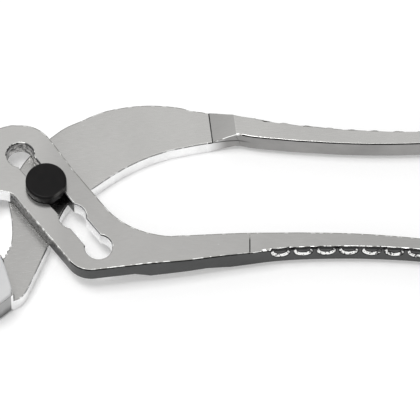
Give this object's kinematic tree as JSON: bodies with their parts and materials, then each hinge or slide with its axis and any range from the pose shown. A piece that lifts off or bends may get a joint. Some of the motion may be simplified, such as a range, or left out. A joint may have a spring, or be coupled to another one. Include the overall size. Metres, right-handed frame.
{
  "type": "fitting pliers",
  "caption": "Slip-joint fitting pliers: two chromed levers crossed at a black pivot bolt in a slot of round seats, with soft jaw shoes and notched grips.",
  "frame": {"origin": "middle of the pivot bolt's end face, flush with the back that the tool lies on", "axes": "+X along the handles away from the jaws, +Y from the front lever's handle to the rear lever's, +Z out of the front face, where the bolt head is"},
  "size_m": [0.2523, 0.1011, 0.0197],
  "materials": {
    "chromed_steel": "satin chrome on ground steel",
    "blackened_steel": "black oxide, half matt",
    "plain_steel": "bright zinc",
    "shoe_plastic": "light grey moulded plastic"
  },
  "bodies": {
    "front_half": {"front_lever": "chromed_steel", "upper_jaw_shoe": "shoe_plastic", "upper_shoe_front_screw": "plain_steel", "upper_shoe_back_screw": "plain_steel"},
    "seat_carrier": {"spring_washer": "plain_steel"},
    "rear_half": {"rear_lever": "chromed_steel", "pivot_bolt": "blackened_steel", "pivot_nut": "blackened_steel", "lower_jaw_shoe": "shoe_plastic", "lower_shoe_front_screw": "plain_steel", "lower_shoe_back_screw": "plain_steel"}
  },
  "joints": [
    {"name": "slot_shift", "type": "slide", "parent": "front_half", "child": "seat_carrier", "axis": [0.6032, -0.7976, 0], "range_m": [-0.018, 0.036]},
    {"name": "jaw_pivot", "type": "hinge", "parent": "seat_carrier", "child": "rear_half", "pos_m": [0, 0, 0], "axis": [0, 0, 1], "range_deg": [-6.5, 35]}
  ]
}
